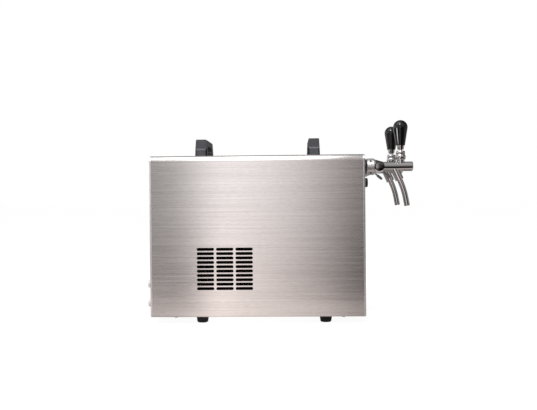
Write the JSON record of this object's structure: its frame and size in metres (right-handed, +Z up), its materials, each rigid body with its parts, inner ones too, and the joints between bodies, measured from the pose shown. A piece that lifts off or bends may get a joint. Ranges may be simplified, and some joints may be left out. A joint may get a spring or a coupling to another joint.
{
  "type": "draft beer dispenser",
  "caption": "Portable over-counter beer cooler in a brushed steel case with carry handles, a thermostat knob and chrome flow-control taps with black lever grips.",
  "frame": {"origin": "on the table, under the middle of the overall length and width", "axes": "+X out of the front, through the taps; +Y to the machine's left side; +Z up"},
  "size_m": [0.5668, 0.27, 0.4225],
  "materials": {
    "brushed_steel": "fine horizontal brushing",
    "galvanised": "dull galvanised",
    "steel_screws": "plain bright steel",
    "chrome": "polished",
    "valve_steel": "turned",
    "handle_plastic": "fine moulded grain",
    "grip_plastic": "polished",
    "black_plastic": "moulded",
    "rubber": "matt",
    "white_plastic": "moulded",
    "beer_line": "smooth",
    "copper": "drawn",
    "aluminium": "cast",
    "foam": "foamed",
    "black_paint": "semi gloss"
  },
  "bodies": {
    "cabinet": {"casing_hood": "brushed_steel", "front_panel": "brushed_steel", "rear_panel": "brushed_steel", "base_pan": "galvanised", "foot_screws": "steel_screws", "hood_screws": "steel_screws", "handle_screws": "steel_screws", "shank_nuts": "steel_screws", "thermostat_nut": "steel_screws", "compressor_bolts": "steel_screws", "tap_shanks": "steel_screws", "coupling_nuts": "chrome", "right_tap_body": "chrome", "left_tap_body": "chrome", "barrel_plugs": "chrome", "right_spout": "chrome", "left_spout": "chrome", "lever_collars": "chrome", "flow_caps": "chrome", "rear_carry_handle": "handle_plastic", "front_carry_handle": "handle_plastic", "wall_rosettes": "black_plastic", "thermostat": "black_plastic", "terminal_box": "black_plastic", "fan_shroud": "black_plastic", "fan_motor": "black_plastic", "cable_gland": "black_plastic", "rubber_feet": "rubber", "compressor_grommets": "rubber", "beer_inlets": "white_plastic", "inlet_nuts": "white_plastic", "beer_inlet_lines": "beer_line", "beer_outlet_lines": "beer_line", "suction_line": "copper", "discharge_line": "copper", "liquid_line": "copper", "filter_drier": "copper", "thermostat_sensor": "copper", "cooling_block": "aluminium", "insulation_shell": "foam", "insulation_lid": "foam", "compressor": "black_paint", "condenser_fins": "black_paint", "condenser_coil": "black_paint"},
    "right_lever": {"right_tap_lever": "chrome", "right_lever_grip": "grip_plastic"},
    "right_valve": {"right_valve_stem": "valve_steel", "right_valve_seal": "rubber"},
    "right_flow_control": {"right_flow_lever": "chrome"},
    "right_flow_cone": {"right_flow_cone": "white_plastic"},
    "left_lever": {"left_tap_lever": "chrome", "left_lever_grip": "grip_plastic"},
    "left_valve": {"left_valve_stem": "valve_steel", "left_valve_seal": "rubber"},
    "left_flow_control": {"left_flow_lever": "chrome"},
    "left_flow_cone": {"left_flow_cone": "white_plastic"},
    "knob": {"thermostat_knob": "black_plastic", "thermostat_spindle": "steel_screws"},
    "fan": {"fan_rotor": "black_plastic"}
  },
  "joints": [
    {"name": "right_lever_tilt", "type": "hinge", "parent": "cabinet", "child": "right_lever", "pos_m": [0.2578, -0.07, 0.349], "axis": [0, 1, 0], "range_deg": [0, 18]},
    {"name": "right_valve_slide", "type": "slide", "parent": "cabinet", "child": "right_valve", "axis": [1, 0, 0], "range_m": [-0.0078, 0]},
    {"name": "right_flow_turn", "type": "hinge", "parent": "cabinet", "child": "right_flow_control", "pos_m": [0.2108, -0.07, 0.324], "axis": [0, 1, 0], "range_deg": [-40, 40]},
    {"name": "right_flow_cone_slide", "type": "slide", "parent": "cabinet", "child": "right_flow_cone", "axis": [1, 0, 0], "range_m": [-0.0008, 0.0008]},
    {"name": "left_lever_tilt", "type": "hinge", "parent": "cabinet", "child": "left_lever", "pos_m": [0.2578, 0.07, 0.349], "axis": [0, 1, 0], "range_deg": [0, 18]},
    {"name": "left_valve_slide", "type": "slide", "parent": "cabinet", "child": "left_valve", "axis": [1, 0, 0], "range_m": [-0.0078, 0]},
    {"name": "left_flow_turn", "type": "hinge", "parent": "cabinet", "child": "left_flow_control", "pos_m": [0.2108, 0.07, 0.324], "axis": [0, 1, 0], "range_deg": [-40, 40]},
    {"name": "left_flow_cone_slide", "type": "slide", "parent": "cabinet", "child": "left_flow_cone", "axis": [1, 0, 0], "range_m": [-0.0008, 0.0008]},
    {"name": "thermostat_turn", "type": "hinge", "parent": "cabinet", "child": "knob", "pos_m": [0.1761, 0, 0.2916], "axis": [1, 0, 0], "range_deg": [0, 270]},
    {"name": "fan_spin", "type": "hinge", "parent": "cabinet", "child": "fan", "pos_m": [-0.1135, -0.07, 0.1142], "axis": [0, 1, 0], "continuous": true}
  ],
  "couplings": [
    {"joint": "right_valve_slide", "follows": "right_lever_tilt", "m_per_rad": -0.024591},
    {"joint": "right_flow_cone_slide", "follows": "right_flow_turn", "m_per_rad": -0.0011049},
    {"joint": "left_valve_slide", "follows": "left_lever_tilt", "m_per_rad": -0.024591},
    {"joint": "left_flow_cone_slide", "follows": "left_flow_turn", "m_per_rad": -0.0011049}
  ]
}
